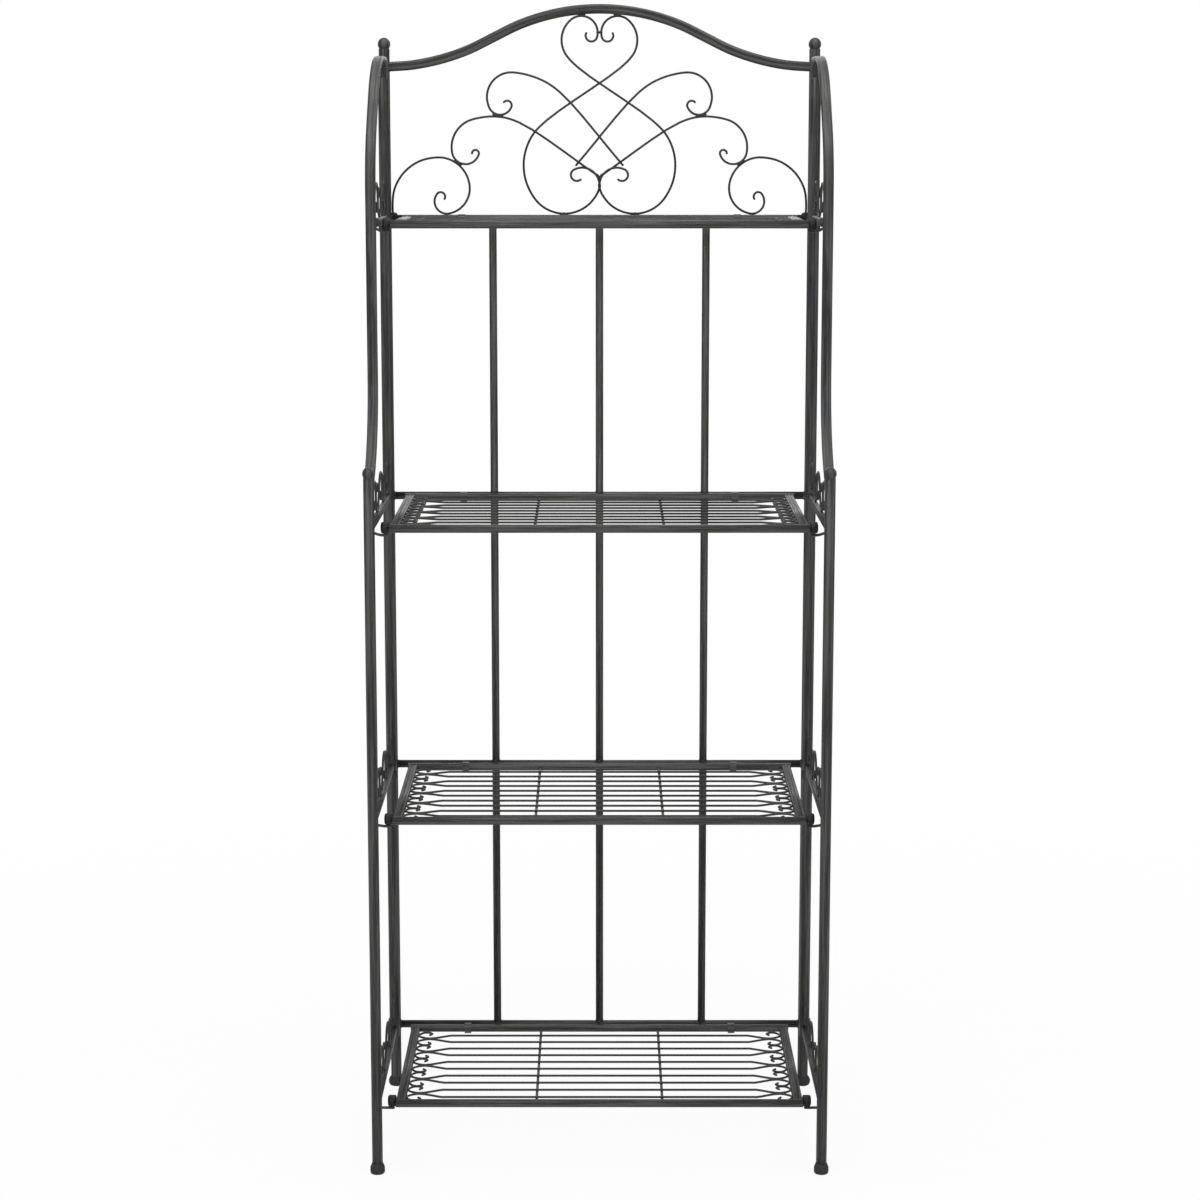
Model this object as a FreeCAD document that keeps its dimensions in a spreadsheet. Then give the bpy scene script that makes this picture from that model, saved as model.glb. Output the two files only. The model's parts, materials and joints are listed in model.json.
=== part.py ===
"""Four-shelf folding bakers rack in painted steel tube and wire, with a scrolled crown.

Frame: +Z up, the front faces -Y, and the origin is on the floor at the middle of the footprint.
The back frame is fixed.  The two side frames hinge on its posts, and the four shelves hinge on
its cross rails and rest on hooks of the side frames' front legs.  All sizes are in millimetres.
"""
import FreeCAD
import Part
import Sketcher
import math
import os
import re

DIMENSIONS = (
    # alias, value, meaning
    ("post_spacing", 628, "between the axes of the two back posts"),
    ("frame_depth", 355, "from front leg axis to back post axis"),
    ("bottom_level", 98, "floor to the axis of the lowest cross rail"),
    ("shelf_pitch", 411, "rise from one shelf to the next"),
    ("post_diameter", 16, "back posts and rear uprights"),
    ("leg_diameter", 15, "front legs"),
    ("tube_wall", 1.2, "wall of posts and legs"),
    ("leg_over_shelf", 71, "third shelf's axis to the top of a front leg tube"),
    ("post_over_arch", 26, "axis of the arch's ends to the top of a post tube"),
    ("foot_height", 15, "rubber feet"),
    ("foot_flare", 2.9, "front foot radius beyond its tube"),
    ("rear_foot_flare", 3.9, "rear foot radius beyond its tube"),
    ("foot_pad", 3, "rubber under the end of a tube"),
    ("ball_height", 16.5, "finials and leg caps above their tubes"),
    ("rail_diameter", 11.5, "cross rails and shelf rails"),
    ("bar_diameter", 10.5, "upright bars of the back"),
    ("hinge_offset", 20, "hinge lines ahead of the back posts"),
    ("hinge_clearance", 0.08, "radial play in a hinge eye"),
    ("eye_wall", 1.2, "wall of a hinge eye"),
    ("eye_length", 10, "hinge eye along its pin"),
    ("arch_width", 14, "flattened tube of the top arch, in its own plane"),
    ("arch_thickness", 10, "flattened tube of the top arch, front to back"),
    ("scroll_wire", 3, "wire of crown and galleries"),
    ("shelf_wire", 2.7, "long wires of a shelf"),
    ("shelf_rod", 4, "rods under a shelf's long wires"),
    ("shelf_gap", 21.75, "between a shelf and the side rails of the side frames"),
    ("shelf_side_width", 13.5, "shelf side rails, across"),
    ("shelf_side_height", 9.2, "shelf side rails"),
    ("shelf_setback", 13.5, "front leg axis to the shelf's front rail axis"),
    ("plug_diameter", 16.4, "plastic end plugs of a shelf"),
    ("plug_length", 12, "plastic end plugs, out from the shelf's side rails"),
    ("plug_setback", 10, "front rail axis back to the axis of the end plugs"),
    ("hook_wire", 4, "support hooks"),
    ("bow_setback", 89, "front leg axis back to the upright stretch of a side bow"),
    ("bow_over_shelf", 229, "top shelf's axis to the axis of a side bow's level top"),
    ("bow_rise", 182, "top of a side bow's upright stretch to its level top"),
    ("bow_width", 14, "flattened tube of the side bows, across"),
    ("bow_thickness", 9, "flattened tube of the side bows, in its own plane"),
    ("side_rail_width", 8, "side frame rails, across"),
    ("side_rail_height", 12, "side frame rails"),
    ("gallery_height", 50, "scrollwork on the side rails"),
)
LEVELS = range(4)
SIDES = {"left": -1, "right": 1}
FIT = 0.05
BAR_FLATS = 8
TUBE_FLATS = 12
TURNED_FLATS = 12
TUBE_STEP = 7.5  # degrees to a facet of a bent tube

V = FreeCAD.Vector
ALONG_X = FreeCAD.Rotation(V(0, 1, 0), 90)
HALF_FLAT = FreeCAD.Rotation(V(0, 0, 1), 180 / TUBE_FLATS)
FLATS_ALONG_X = ALONG_X.multiply(HALF_FLAT)
UPRIGHT_PLANE = FreeCAD.Rotation(V(1, 0, 0), 90)
SIDE_PLANE = FreeCAD.Rotation(V(0, 1, 0), V(0, 0, 1), V(1, 0, 0), "XYZ")

doc = FreeCAD.newDocument("BakersRack")
sheet = doc.addObject("Spreadsheet::Sheet", "sizes")
for row, (alias, value, meaning) in enumerate(DIMENSIONS, 1):
    sheet.set(f"A{row}", meaning)
    sheet.set(f"B{row}", str(value))
    sheet.setAlias(f"B{row}", alias)
doc.recompute()
ALIASES = [alias for alias, value, meaning in DIMENSIONS]
SIZE = {alias: float(getattr(sheet, alias)) for alias in ALIASES}


def derive(alias, formula, meaning):
    """Add a size that follows from the others to the sheet."""
    row = len(ALIASES) + 1
    sheet.set(f"A{row}", meaning)
    sheet.set(f"B{row}", formula)
    sheet.setAlias(f"B{row}", alias)
    doc.recompute()
    ALIASES.append(alias)
    SIZE[alias] = float(getattr(sheet, alias))


derive("shelf_width", "=post_spacing - side_rail_width - 2 * shelf_gap", "over the side rails of a shelf")
derive("leg_height", "=bottom_level + 2 * shelf_pitch + leg_over_shelf", "floor to the top of a front leg")
derive("bow_height", "=bottom_level + 3 * shelf_pitch + bow_over_shelf", "floor to a side bow's level top")

# ---------------------------------------------------------------- tools of the model

nodes = []


def bind(item, prop, expression):
    """Bind a property to an expression in which the sheet's aliases stand by themselves."""
    words = re.split(r"([a-z_]+)", expression)
    item.setExpression(prop, "".join(f"sizes.{word}" if word in ALIASES else word for word in words))


def place(item, x, y, z, rotation=FreeCAD.Rotation()):
    item.Placement = FreeCAD.Placement(V(), rotation)
    for axis, expression in zip("xyz", (x, y, z)):
        bind(item, f".Placement.Base.{axis}", str(expression))
    return item


def node(item, label):
    """Name a finished sub-part and list it for export."""
    item.Label = label
    nodes.append(item)
    return item


def level_height(level):
    return f"(bottom_level + {level} * shelf_pitch)"


def height_of(level):
    return SIZE["bottom_level"] + level * SIZE["shelf_pitch"]


def cylinder(name, diameter, length):
    item = doc.addObject("Part::Cylinder", name)
    bind(item, "Radius", f"({diameter}) / 2")
    bind(item, "Height", length)
    return item


def prism(name, flats, across, length):
    """A faceted rod, measured across its flats."""
    item = doc.addObject("Part::Prism", name)
    item.Polygon = flats
    bind(item, "Circumradius", f"({across}) / 2 / cos({180 / flats})")
    bind(item, "Height", length)
    return item


def rod_across(name, diameter, length, y, z):
    """A round rod along X, centred on the rack."""
    return place(cylinder(name, diameter, length), f"-({length}) / 2", y, z, ALONG_X)


def faceted_rod_across(name, across, length, y, z):
    """A faceted rod along X, centred on the rack, with flats ahead and above."""
    return place(prism(name, TUBE_FLATS, across, length), f"-({length}) / 2", y, z, FLATS_ALONG_X)


def joined(name, items):
    item = doc.addObject("Part::MultiFuse", name)
    item.Shapes = items
    return item


def gathered(name, items):
    item = doc.addObject("Part::Compound", name)
    item.Links = items
    return item


def cut(name, base, tool):
    item = doc.addObject("Part::Cut", name)
    item.Base = base
    item.Tool = tool
    return item


def shape(name, geometry):
    item = doc.addObject("Part::Feature", name)
    item.Shape = geometry
    return item


def extruded(name, faces, direction, length):
    """Extrude flat outlines along an axis by a length bound to the sheet."""
    item = doc.addObject("Part::Extrusion", name)
    item.Base = shape(f"{name}_outline", Part.Compound(faces))
    item.DirMode = "Custom"
    item.Dir = direction
    item.Solid = True
    bind(item, "LengthFwd", length)
    return item


def body_sketch(name, plane_role):
    body = doc.addObject("PartDesign::Body", name)
    sketch = body.newObject("Sketcher::SketchObject", f"{name}_sketch")
    plane = [item for item in body.Origin.OriginFeatures if item.Role == plane_role][0]
    sketch.AttachmentSupport = [(plane, "")]
    sketch.MapMode = "FlatFace"
    return body, sketch


def hold(sketch, constraint, expression):
    """Add a dimension to a sketch and bind it to the sheet."""
    number = sketch.addConstraint(constraint)
    bind(sketch, f"Constraints[{number}]", expression)


def tube(name, diameter, length):
    """A round tube of the common wall, standing on its own origin."""
    body, sketch = body_sketch(name, "XY_Plane")
    for size in (diameter, f"{diameter} - 2 * tube_wall"):
        circle = sketch.addGeometry(Part.Circle(V(), V(0, 0, 1), 5 + sketch.GeometryCount), False)
        sketch.addConstraint(Sketcher.Constraint("Coincident", circle, 3, -1, 1))
        hold(sketch, Sketcher.Constraint("Diameter", circle, 5 + circle), size)
    pad = body.newObject("PartDesign::Pad", f"{name}_pad")
    pad.Profile = sketch
    bind(pad, "Length", length)
    return body


def flat(corners):
    """A flat face with the given corners."""
    return Part.Face(Part.makePolygon(corners + corners[:1]))


def skinned(rings):
    """A solid of flat facets over rings of as many points each, closed at its two ends."""
    faces = [flat(rings[0][::-1]), flat(rings[-1])]
    for low, high in zip(rings, rings[1:]):
        for i in range(len(low)):
            faces.append(flat([low[i - 1], low[i], high[i], high[i - 1]]))
    return Part.Solid(Part.Shell(faces))


def turned(name, profile):
    """A faceted piece turned about its own Z axis, from (radius, height) rows."""
    turns = [math.tau * i / TURNED_FLATS for i in range(TURNED_FLATS)]
    rings = []
    for radius, height in profile:
        rings.append([V(radius * math.cos(turn), radius * math.sin(turn), height) for turn in turns])
    return shape(name, skinned(rings))


# ---------------------------------------------------------------- bent wire

class Bend:
    """One stretch of a bent wire in a plane: an arc, or a straight run where turn is 0."""

    def __init__(self, start, heading, size, turn):
        self.start, self.heading, self.turn, self.radius = start, heading, turn, size
        along = V(math.cos(heading), math.sin(heading))
        if turn:
            self.centre = start + V(-along.y, along.x) * math.copysign(size, turn)
            self.end = self.point(1)
        else:
            self.end = start + along * size

    def point(self, share):
        """The point at a share of the stretch."""
        if not self.turn:
            return self.start + (self.end - self.start) * share
        angle = self.heading + self.turn * share - math.copysign(math.pi / 2, self.turn)
        return self.centre + V(math.cos(angle), math.sin(angle)) * self.radius

    def edge(self):
        first, middle, last = (self.point(share) for share in (0, 0.5, 1))
        if self.turn:
            return Part.Arc(first, middle, last).toShape()
        return Part.LineSegment(first, last).toShape()


def bent(start, heading, bends, scale=1, hand=1):
    """A wire's stretches from (radius, degrees to the left) pairs; hand -1 mirrors it in X."""
    start = V(start.x * hand, start.y)
    heading = math.radians(heading if hand > 0 else 180 - heading)
    path = []
    for size, turn in bends:
        path.append(Bend(start, heading, size * scale, math.radians(turn) * hand))
        start = path[-1].end
        heading += path[-1].turn
    return path


def mitres(points):
    """Each corner of a bent line, with the sideways reach to a parallel line at distance 1."""
    rows = []
    for i, point in enumerate(points):
        before = (point - points[i - 1]).normalize() if i else None
        after = (points[i + 1] - point).normalize() if i + 1 < len(points) else None
        along = ((before or after) + (after or before)).normalize()
        rows.append((point, V(-along.y, along.x) / along.dot(after or before)))
    return rows


def mitred_wire(points, width):
    """The outline of a wire bent sharply at the points, as a face."""
    bends = mitres(points)
    left = [point + reach * width / 2 for point, reach in bends]
    right = [point - reach * width / 2 for point, reach in bends]
    return flat(left + right[::-1])


def sampled(path, step):
    """Corner points of a path with its arcs cut into turns of about a step in degrees."""
    points = [path[0].start]
    for bend in path:
        parts = max(1, round(abs(math.degrees(bend.turn)) / step))
        points += [bend.point(part / parts) for part in range(1, parts + 1)]
    return points


def grooved_section(width, height):
    """The corners of a flattened tube's section, hollowed a little along its two broad faces."""
    quarter = [V(width / 2, height / 4), V(width / 2 - height / 4, height / 2)]
    upper = quarter + [V(0, height * 0.38)] + [V(-p.x, p.y) for p in quarter[::-1]]
    return upper + [V(-p.x, -p.y) for p in upper]


def swept(path, section):
    """A section of (left, up) corners carried along a bent path in facets."""
    rings = []
    for point, reach in mitres(sampled(path, TUBE_STEP)):
        rings.append([point + reach * corner.x + V(0, 0, corner.y) for corner in section])
    return skinned(rings)


# ---------------------------------------------------------------- lines of the crown

# Left-hand scrolls and the arch, in hundredths of the post spacing: where they start from the rack's
# middle and from the top cross rail, their heading, and (radius, degrees to the left) of each bend.
HEART = (-2.95, 41.8), -126, (
    (1.35, 200), (3.8, 147), (6.05, 83), (11.75, 21), (20.8, 0),
    (12.75, -93), (8.65, -116), (4.05, -143), (1.4, -203),
)
UPPER = (-22.4, 25.7), 61, ((1.05, -172), (2.8, -134), (5.7, -119), (18.5, -37), (82.05, -18))
LOWER = (-29.7, 14), 108, ((0.8, -215), (3.2, -152), (6.7, -82), (15.05, -44), (72.4, -19))
CORNER = (-48.55, 1.25), 97, ((10.75, -99), (7.3, -82), (5.95, -86), (2.85, -138), (1.05, -187))
ARCH_RADIUS = 49.75
ARCH_ANGLE = 29.5
ARCH_END_SLOPE = 0.5
CROWN_STEP = 22
TAIL_REACH = 1.1  # from a tail's end to the wire that it meets, axis to axis in wires
TAIL_STEP = 0.01
SEATING_ROUNDS = 4

unit = SIZE["post_spacing"] / 100
wire = SIZE["scroll_wire"]
rail_top = height_of(LEVELS[-1]) + SIZE["rail_diameter"] / 2
post_face = SIZE["post_spacing"] / 2 - SIZE["post_diameter"] / 2


def drawn(scroll, hand=1, shift=V()):
    """A scroll's stretches after a shift that is given for the left hand."""
    start, heading, bends = scroll
    return bent(V(*start) * unit + shift, heading, bends, unit, hand)


def lowest(path):
    return min(point.y for point in sampled(path, 5))


def seated(path, other, own_arc, other_arc):
    """The upward shift at which one arc of each of two wires touch from outside."""
    reach = path[own_arc].radius + other[other_arc].radius + wire
    across = path[own_arc].centre.x - other[other_arc].centre.x
    return V(0, other[other_arc].centre.y + math.sqrt(reach**2 - across**2) - path[own_arc].centre.y)


def cut_back(path, other):
    """The path with its last arc ended where its wire meets another's."""
    line, last, share = Part.Wire([bend.edge() for bend in other]), path[-1], 1
    while last.edge().distToShape(line)[0] < wire * TAIL_REACH:
        share -= TAIL_STEP
        last = Bend(last.start, last.heading, last.radius, path[-1].turn * share)
    return path[:-1] + [last]


def corner_path(hand):
    """The corner scroll: a foot beside the post, and a loop that stands on the rail."""
    loop = drawn(CORNER)
    inset = -post_face + wire / 2 - min(point.x for point in sampled(loop, 5))
    rise = rail_top + wire / 2 - lowest(loop[1:])
    heading = math.radians(CORNER[1])
    run = (loop[0].start.y + rise - rail_top + wire / 2 * math.cos(heading)) / math.sin(heading)
    start = loop[0].start + V(inset, rise) - V(math.cos(heading), math.sin(heading)) * run
    return bent(start, CORNER[1], ((run / unit, 0), *CORNER[2]), unit, hand)


def crown_paths(hand):
    """The four scrolls of one hand, each seated on what carries it."""
    heart = drawn(HEART, hand, V(0, rail_top + wire / 2 - lowest(drawn(HEART))))
    corner = corner_path(hand)
    lower = drawn(LOWER, hand)
    lower = drawn(LOWER, hand, seated(lower, corner, 1, 2))
    upper = drawn(UPPER, hand)
    upper = drawn(UPPER, hand, seated(upper, lower, 1, 3))
    upper, lower = cut_back(upper, heart), cut_back(lower, heart)
    return {"heart": heart, "upper": upper, "lower": lower, "corner": corner}


def arch_line():
    """The arch's middle line from left to right, with its crown's centre at the origin's height."""
    crown, half_span = ARCH_RADIUS * unit, SIZE["post_spacing"] / 2
    angle, end = math.radians(ARCH_ANGLE), math.radians(ARCH_END_SLOPE)
    shoulder = (half_span - crown * math.sin(angle)) / (math.sin(angle) - math.sin(end))
    height = crown * math.cos(angle) - shoulder * (math.cos(end) - math.cos(angle))
    rise = (shoulder, ARCH_ANGLE - ARCH_END_SLOPE)
    return V(-half_span, height), ARCH_END_SLOPE, (rise, (crown, -2 * ARCH_ANGLE), rise)


def arch_path():
    """The arch's middle line, let down onto the lobes of the hearts."""
    lobes = Part.makePolygon(sampled(crown_paths(1)["heart"], CROWN_STEP))
    start, heading, bends = arch_line()
    start.y += lobes.BoundBox.YMax
    for i in range(SEATING_ROUNDS):
        arch = Part.makePolygon(sampled(bent(start, heading, bends), TUBE_STEP))
        start.y += (SIZE["arch_width"] + wire) / 2 - arch.distToShape(lobes)[0]
    return bent(start, heading, bends)


derive("post_top", f"={arch_path()[0].start.y} + post_over_arch", "floor to the top of a post tube")


# ---------------------------------------------------------------- back frame

STEM_LENGTH = 12
BACK = "frame_depth / 2"
FRONT = "-frame_depth / 2"
HINGE = "(frame_depth / 2 - hinge_offset)"
TOP_LEVEL = level_height(LEVELS[-1])


def ball(name, diameter):
    """A pressed-in ball on a tube: its stem fits the bore and its neck sits on the tube's end."""
    radius, height = SIZE[diameter] / 2, SIZE["ball_height"]
    stem = radius - SIZE["tube_wall"] - FIT
    rows = ((0.89, 0), (1.1, 0.19), (1.16, 0.41), (1.04, 0.67), (0.7, 0.89), (0.25, 1))
    profile = [(stem, -STEM_LENGTH), (stem, 0)]
    return turned(name, profile + [(radius * share, height * rise) for share, rise in rows])


def foot(name, diameter, flare):
    """A bulging rubber foot with a socket for its tube's end."""
    radius, height = SIZE[diameter] / 2, SIZE["foot_height"]
    socket = (radius + FIT) / math.cos(math.pi / TURNED_FLATS)
    rows = ((0.3, 0), (0.85, 0.15), (1, 0.45), (0.82, 0.77), (0.3, 1))
    profile = [(radius + SIZE[flare] * share, height * rise) for share, rise in rows]
    return turned(name, profile + [(socket, height), (socket, SIZE["foot_pad"])])


post_space, finials, rear_feet = [], [], []
for side, hand in SIDES.items():
    post_x = f"{hand} * post_spacing / 2"
    post = tube(f"back_post_{side}", "post_diameter", "post_top - foot_pad")
    node(place(post, post_x, BACK, "foot_pad"), f"back_post_{side}")
    finials.append(place(ball(f"finial_{side}", "post_diameter"), post_x, BACK, "post_top"))
    rear_foot = foot(f"rear_foot_{side}", "post_diameter", "rear_foot_flare")
    rear_feet.append(place(rear_foot, post_x, BACK, "0"))
    space = prism(f"post_space_{side}", TUBE_FLATS, "post_diameter", "post_top")
    post_space.append(place(space, post_x, BACK, "0", HALF_FLAT))
post_space = joined("post_space", post_space)
node(gathered("post_finials", finials), "post_finials")
node(gathered("rear_feet", rear_feet), "rear_feet")

cross_rails = []
for level in LEVELS:
    name = f"cross_rail_{level + 1}"
    stock = faceted_rod_across(f"{name}_stock", "rail_diameter", "post_spacing", BACK, level_height(level))
    cross_rails.append(node(cut(name, stock, post_space), name))
rail_space = joined("rail_space", cross_rails)

for number, name in enumerate(("left", "middle", "right")):
    bar = prism(f"back_bar_stock_{name}", BAR_FLATS, "bar_diameter", f"{TOP_LEVEL} - bottom_level")
    place(bar, f"({number} - 1) * post_spacing / 4", BACK, "bottom_level")
    node(cut(f"back_bar_{name}", bar, rail_space), f"back_bar_{name}")


# ---------------------------------------------------------------- crown scrollwork

for side, hand in SIDES.items():
    # The left-hand scrolls lie ahead of the frame's middle plane and the right-hand ones behind it.
    layer = BACK if side == "left" else f"{BACK} + scroll_wire"
    for name, path in crown_paths(-hand).items():
        outline = mitred_wire(sampled(path, CROWN_STEP), wire)
        scroll = extruded(f"{name}_scroll_{side}", [outline], V(0, 0, 1), "scroll_wire")
        node(place(scroll, "0", layer, "0", UPRIGHT_PLANE), f"{name}_scroll_{side}")

arch_section = grooved_section(SIZE["arch_width"], SIZE["arch_thickness"])
arch_stock = shape("top_arch_stock", swept(arch_path(), arch_section))
place(arch_stock, "0", BACK, "0", UPRIGHT_PLANE)
node(cut("top_arch", arch_stock, post_space), "top_arch")


# ---------------------------------------------------------------- hinge eyes of the back frame

EYE_FLATS = 8
EYE_LEVELS = (1, 3)
EYE_DROP = 1


def even_corners(middle, flats, across):
    """The corners of an even-sided outline that stands on a flat."""
    turns = [math.tau * (i + 0.5) / flats for i in range(flats)]
    return [middle + V(math.cos(a), math.sin(a)) * across / 2 / math.cos(math.pi / flats) for a in turns]


def eye_outline(pin_diameter, carrier_diameter):
    """An eye about the origin whose tab reaches back along +X to a round tube, as a face."""
    bore = pin_diameter / 2 + SIZE["hinge_clearance"]
    outer = bore + SIZE["eye_wall"]
    corner, tab = outer * 0.45, bore * 0.6
    offset = SIZE["hinge_offset"]
    upper = [V(-outer, corner), V(-corner, outer), V(corner, outer), V(outer, tab), V(offset, tab)]
    hole = flat(even_corners(V(), EYE_FLATS, 2 * bore))
    carrier = flat(even_corners(V(offset, 0), TUBE_FLATS, carrier_diameter))
    return flat(upper + [V(p.x, -p.y) for p in upper[::-1]]).cut([hole, carrier]).Faces[0]


def placed(face, base, rotation=FreeCAD.Rotation()):
    copy = face.copy()
    copy.Placement = FreeCAD.Placement(base, rotation)
    return copy


hinge_y = SIZE["frame_depth"] / 2 - SIZE["hinge_offset"]
eye_x = SIZE["shelf_width"] * 0.35
shelf_eye = eye_outline(SIZE["rail_diameter"], SIZE["rail_diameter"])
shelf_eyes = []
for level in LEVELS:
    for hand in SIDES.values():
        middle = V(hand * eye_x - SIZE["eye_length"] / 2, hinge_y, height_of(level))
        shelf_eyes.append(placed(shelf_eye, middle, SIDE_PLANE))
node(extruded("shelf_hinge_eyes", shelf_eyes, V(1, 0, 0), "eye_length"), "shelf_hinge_eyes")

side_eye = eye_outline(SIZE["post_diameter"], SIZE["post_diameter"])
side_eyes = []
for level in EYE_LEVELS:
    height = height_of(level) - SIZE["side_rail_height"] / 2 - EYE_DROP - SIZE["eye_length"]
    for hand in SIDES.values():
        middle = V(hand * SIZE["post_spacing"] / 2, hinge_y, height)
        side_eyes.append(placed(side_eye, middle, FreeCAD.Rotation(V(0, 0, 1), 90)))
node(extruded("side_hinge_eyes", side_eyes, V(0, 0, 1), "eye_length"), "side_hinge_eyes")


# ---------------------------------------------------------------- side frames

BOW_DROP = 9
BOW_START_SLOPE = 25
BOW_SHOULDER_RADIUS = 130
BOW_SHOULDER_SLOPE = 50
BOW_CROWN_RADIUS = 150
GALLERY_PITCH = 105
GALLERY_STEP = 62
HALF_SCROLL = 60, ((1.6, -20), (0.5, -170), (0.275, -150))  # heading, and bends in shares of its reach
CORNER_REACH = 1.2  # of a sharp bend's outer corner, in half wires
RAIL_BEVEL = 2
UPRIGHT_DROP = 12
REST_GAP = 0.3
HOOK_ROOT = 3

top_level = LEVELS[-1]


def support_y(level):
    """Where the side frame carries a shelf's front: at the legs, and for the top shelf at the bows."""
    return -SIZE["frame_depth"] / 2 + (SIZE["bow_setback"] if level == top_level else 0)


def front_rail_y(level):
    return support_y(level) + SIZE["shelf_setback"]


def bow_path():
    """The side bow's middle line in the plane of Y and Z, from the front leg's axis to the upright's."""
    start = V(-SIZE["frame_depth"] / 2, SIZE["leg_height"] - BOW_DROP)
    slope, start_slope = math.radians(BOW_SHOULDER_SLOPE), math.radians(BOW_START_SLOPE)
    foot_radius = SIZE["bow_setback"] / (1 - math.sin(start_slope))
    shoulder_rise = BOW_SHOULDER_RADIUS * math.cos(slope)
    crown_rise = BOW_CROWN_RADIUS * (1 - math.cos(slope))
    slant = (SIZE["bow_rise"] - shoulder_rise - crown_rise) / math.sin(slope)
    upright_run = SIZE["bow_height"] - SIZE["bow_rise"] - start.y - foot_radius * math.cos(start_slope)
    bends = [
        (foot_radius, 90 - BOW_START_SLOPE),
        (upright_run, 0),
        (BOW_SHOULDER_RADIUS, BOW_SHOULDER_SLOPE - 90),
        (slant, 0),
        (BOW_CROWN_RADIUS, -BOW_SHOULDER_SLOPE),
    ]
    path = bent(start, BOW_START_SLOPE, bends)
    return path + bent(path[-1].end, 0, [(hinge_y - path[-1].end.x, 0)])


def side_rail_section():
    half_width, half_height = SIZE["side_rail_width"] / 2, SIZE["side_rail_height"] / 2
    corner = [V(half_width, 0, half_height - RAIL_BEVEL), V(half_width - RAIL_BEVEL, 0, half_height)]
    upper = corner + [V(-p.x, 0, p.z) for p in corner[::-1]]
    return flat(upper + [V(-p.x, 0, -p.z) for p in upper])


def gallery_scroll(middle, pitch):
    """One S-scroll about its middle point, as wide as the pitch."""
    margin = wire * CORNER_REACH
    reach = (SIZE["gallery_height"] - margin) / 2
    half = sampled(bent(V(), *HALF_SCROLL, reach), GALLERY_STEP)
    spread = (pitch - margin) / 2 / max(point.x for point in half)
    lift = reach / max(point.y for point in half)
    upper = [V(point.x * spread, point.y * lift) for point in half]
    lower = [-point for point in upper[:0:-1]]
    return mitred_wire([middle + point for point in lower + upper], wire)


def gallery_faces():
    """Running S-scrolls on top of every side rail, drawn in the plane of Y and Z."""
    faces = []
    for level in LEVELS:
        front_tube = SIZE["bow_thickness"] if level == top_level else SIZE["leg_diameter"]
        first = support_y(level) + front_tube / 2
        length = hinge_y - SIZE["post_diameter"] / 2 - first
        count = round(length / GALLERY_PITCH)
        base = height_of(level) + (SIZE["side_rail_height"] + SIZE["gallery_height"]) / 2
        for number in range(count):
            faces.append(gallery_scroll(V(first + length / count * (number + 0.5), base), length / count))
    return faces


def hook_faces(hand):
    """The wires that carry the shelves' end plugs, drawn in the plane of X and Y."""
    side = SIZE["shelf_width"] / 2
    faces = []
    for level in LEVELS:
        seat_y = front_rail_y(level) + SIZE["plug_setback"]
        start = V(hand * SIZE["post_spacing"] / 2, support_y(level) + HOOK_ROOT)
        points = [start, V(hand * (side + SIZE["plug_length"]), seat_y), V(hand * side, seat_y)]
        drop = SIZE["plug_diameter"] / 2 + REST_GAP + SIZE["hook_wire"]
        faces.append(placed(mitred_wire(points, SIZE["hook_wire"]), V(0, 0, height_of(level) - drop)))
    return faces


for side, hand in SIDES.items():
    leg_x = f"{hand} * post_spacing / 2"
    leg = place(tube(f"leg_tube_{side}", "leg_diameter", "leg_height - foot_pad"), leg_x, FRONT, "foot_pad")
    cap = place(ball(f"leg_cap_{side}", "leg_diameter"), leg_x, FRONT, "leg_height")
    node(gathered(f"front_leg_{side}", [leg, cap]), f"front_leg_{side}")
    front_foot = foot(f"front_foot_{side}", "leg_diameter", "foot_flare")
    node(place(front_foot, leg_x, FRONT, "0"), f"front_foot_{side}")

    upright_length = f"bow_height + bow_thickness / 2 - bottom_level + {UPRIGHT_DROP}"
    upright = cylinder(f"rear_upright_{side}", "post_diameter", upright_length)
    node(place(upright, leg_x, HINGE, f"bottom_level - {UPRIGHT_DROP}"), f"rear_upright_{side}")
    leg_space = place(cylinder(f"leg_space_{side}", "leg_diameter", "leg_height"), leg_x, FRONT, "0")

    bow_section = [V(-p.y, p.x) for p in grooved_section(SIZE["bow_width"], SIZE["bow_thickness"])]
    bow = shape(f"top_bow_stock_{side}", swept(bow_path(), bow_section))
    place(bow, leg_x, "0", "0", SIDE_PLANE)
    bow_ends = joined(f"bow_ends_{side}", [leg_space, upright])
    bow = node(cut(f"top_bow_{side}", bow, bow_ends), f"top_bow_{side}")

    frame_tubes = joined(f"frame_tubes_{side}", [leg_space, upright, bow])
    rails = []
    for level in LEVELS:
        setback = "bow_setback" if level == top_level else "0"
        length = f"frame_depth - hinge_offset - {setback}"
        rail = extruded(f"side_rail_stock_{side}_{level + 1}", [side_rail_section()], V(0, 1, 0), length)
        rails.append(place(rail, leg_x, f"{FRONT} + {setback}", level_height(level)))
    rail_stock = gathered(f"side_rail_stock_{side}", rails)
    node(cut(f"side_rails_{side}", rail_stock, frame_tubes), f"side_rails_{side}")

    galleries = extruded(f"side_galleries_{side}", gallery_faces(), V(0, 0, 1), "scroll_wire")
    node(place(galleries, f"{leg_x} - scroll_wire / 2", "0", "0", SIDE_PLANE), f"side_galleries_{side}")

    hooks = extruded(f"hook_stock_{side}", hook_faces(hand), V(0, 0, 1), "hook_wire")
    node(cut(f"support_hooks_{side}", hooks, frame_tubes), f"support_hooks_{side}")


# ---------------------------------------------------------------- shelves

WIRE_PITCH = 28
REAR_ROOM = 1.85  # from the last pair of wires to the rear rail's axis, in pitches
ROD_SHARE = 0.31
WIRE_LIFT = 0.15
WIRE_GAP = 0.2


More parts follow.
